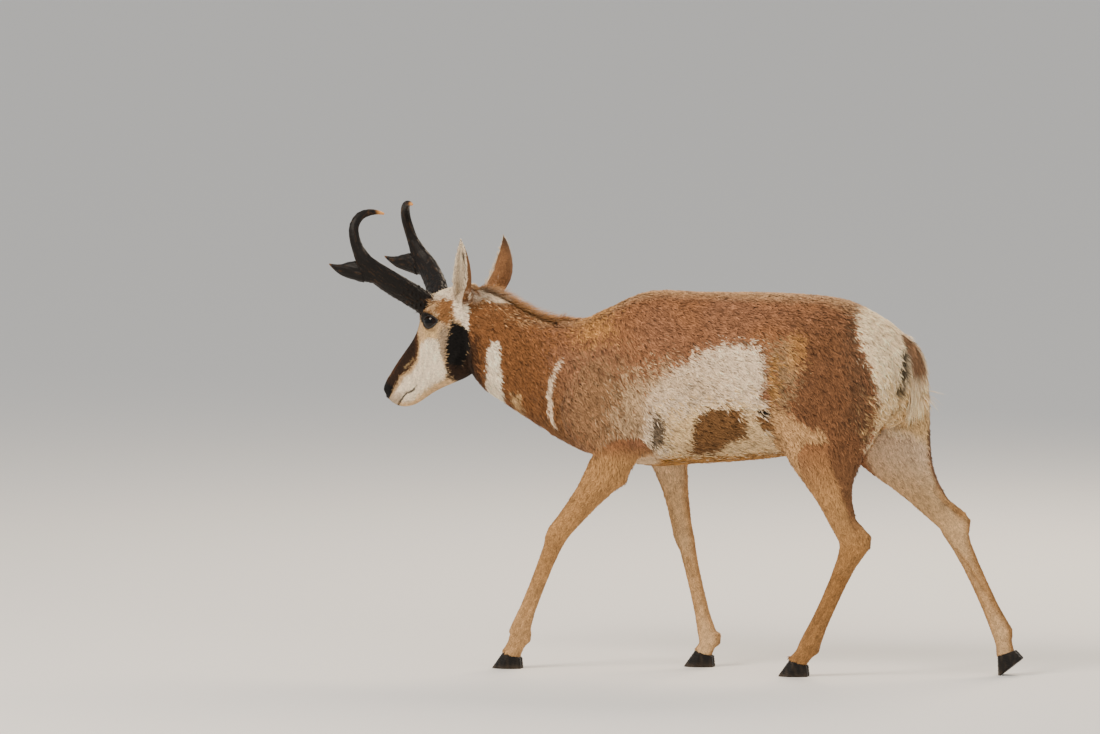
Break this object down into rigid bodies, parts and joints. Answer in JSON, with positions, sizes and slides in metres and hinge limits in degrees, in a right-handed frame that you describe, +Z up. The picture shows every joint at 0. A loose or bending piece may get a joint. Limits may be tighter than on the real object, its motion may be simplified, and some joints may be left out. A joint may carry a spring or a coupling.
{
  "type": "pronghorn buck",
  "caption": "Walking pronghorn buck in life size, head low and turned slightly, with forked horns, tan and white coat, short mane and cloven hooves.",
  "frame": {"origin": "on the floor under the middle of the whole animal's bounding box", "axes": "+Z up, the animal faces -X and its left side is towards -Y"},
  "size_m": [1.646, 0.3726, 1.0839],
  "materials": {
    "coat": "short brittle tan coat",
    "leg_coat": "short sleek buff coat",
    "pale_coat": "soft cream coat",
    "ear": "thin skin with short hair",
    "horn": "dark fibrous keratin",
    "hoof": "black worn keratin",
    "eye": "wet and black"
  },
  "bodies": {
    "root": {"ear_left": "ear", "ear_right": "ear", "eye_left": "eye", "eye_right": "eye", "fore_left_cannon": "leg_coat", "fore_left_claw_1": "hoof", "fore_left_claw_2": "hoof", "fore_left_forearm": "coat", "fore_left_pastern": "leg_coat", "fore_right_cannon": "leg_coat", "fore_right_claw_1": "hoof", "fore_right_claw_2": "hoof", "fore_right_forearm": "coat", "fore_right_pastern": "leg_coat", "head": "coat", "hind_left_cannon": "leg_coat", "hind_left_claw_1": "hoof", "hind_left_claw_2": "hoof", "hind_left_gaskin": "coat", "hind_left_pastern": "leg_coat", "hind_right_cannon": "leg_coat", "hind_right_claw_1": "hoof", "hind_right_claw_2": "hoof", "hind_right_gaskin": "coat", "hind_right_pastern": "leg_coat", "horn_left_hook": "horn", "horn_left_prong": "horn", "horn_left_shaft": "horn", "horn_right_hook": "horn", "horn_right_prong": "horn", "horn_right_shaft": "horn", "neck": "coat", "shoulder_left": "coat", "shoulder_right": "coat", "tail": "pale_coat", "thigh_left": "coat", "thigh_right": "coat", "torso": "coat"}
  },
  "joints": []
}
